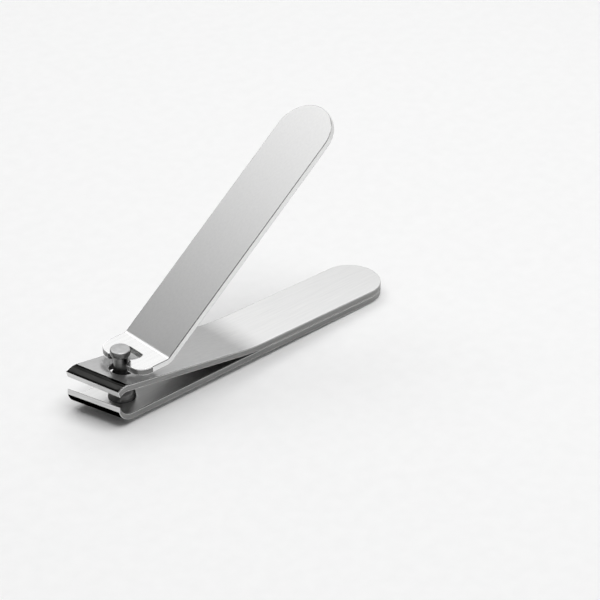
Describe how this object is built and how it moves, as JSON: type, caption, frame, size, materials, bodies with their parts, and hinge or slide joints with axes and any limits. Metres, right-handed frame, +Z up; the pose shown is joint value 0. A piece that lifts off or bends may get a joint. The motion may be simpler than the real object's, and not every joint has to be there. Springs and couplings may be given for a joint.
{
  "type": "nail clipper",
  "caption": "Slant-edged lever nail clipper: two spring arms joined at the tail, a swivelling post and a forked thumb lever that closes the jaws.",
  "frame": {"origin": "underside of the post's flange, on the post's axis, where the clipper rests on a table", "axes": "+X forward to the cutting edges, +Y to the clipper's left side, +Z up through the post"},
  "size_m": [0.0851, 0.0144, 0.0516],
  "materials": {
    "arm_steel": "satin faces, bright edges",
    "post_steel": "turned, dull",
    "lever_steel": "satin plate, polished fork"
  },
  "bodies": {
    "frame": {"lower_arm": "arm_steel", "upper_arm_tail": "arm_steel"},
    "upper_jaw": {"upper_arm_jaw": "arm_steel"},
    "post": {"post": "post_steel"},
    "lever": {"lever": "lever_steel"}
  },
  "joints": [
    {"name": "post_swivel", "type": "hinge", "parent": "frame", "child": "post", "pos_m": [0, 0, 0], "axis": [0, 0, 1], "continuous": true},
    {"name": "lever_press", "type": "hinge", "parent": "post", "child": "lever", "pos_m": [0, 0, 0.01145], "axis": [0, -1, 0], "range_deg": [0, 20]},
    {"name": "jaw_close", "type": "hinge", "parent": "frame", "child": "upper_jaw", "pos_m": [-0.0315, 0, 0.00265], "axis": [0, 1, 0], "range_deg": [0, 3.8], "stiffness_Nm_per_rad": 0.8, "springref_deg": -5.73}
  ],
  "couplings": [
    {"joint": "jaw_close", "follows": "lever_press", "ratio": 0.184}
  ]
}
